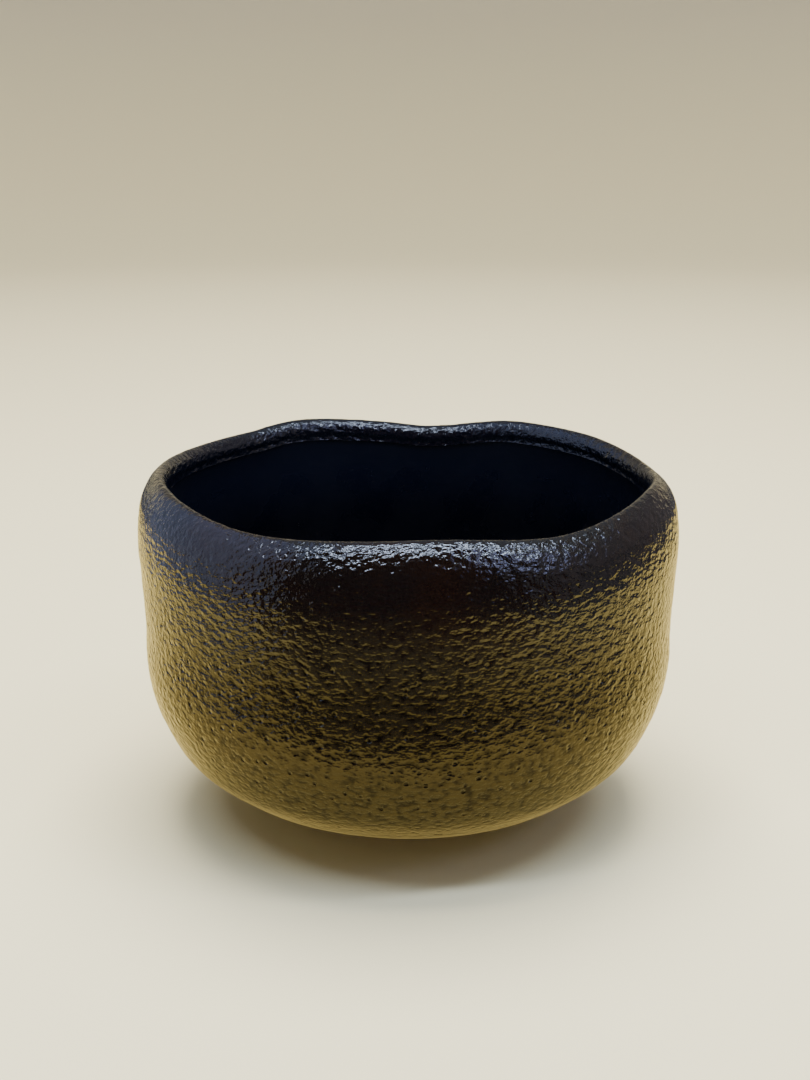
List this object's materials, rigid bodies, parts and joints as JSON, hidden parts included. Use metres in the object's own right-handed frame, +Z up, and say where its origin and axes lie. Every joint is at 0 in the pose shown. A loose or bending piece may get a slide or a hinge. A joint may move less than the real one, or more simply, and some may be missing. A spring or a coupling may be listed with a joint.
{
  "type": "matcha bowl",
  "caption": "Hand-formed cylindrical tea bowl with a gently waved, rolled lip, a rounded lower wall and a low foot ring, for whisking and drinking powdered tea.",
  "frame": {"origin": "on the table, under the middle of the foot ring", "axes": "+Z up through the mouth; the front of the bowl faces -Y and +X is to the right as seen from the front"},
  "size_m": [0.1205, 0.1207, 0.0795],
  "materials": {
    "black_glaze": "gloss",
    "fired_clay": "matt"
  },
  "bodies": {
    "root": {"clay_body": "fired_clay", "foot_ring": "fired_clay", "outer_glaze": "black_glaze", "inner_glaze": "black_glaze"}
  },
  "joints": []
}
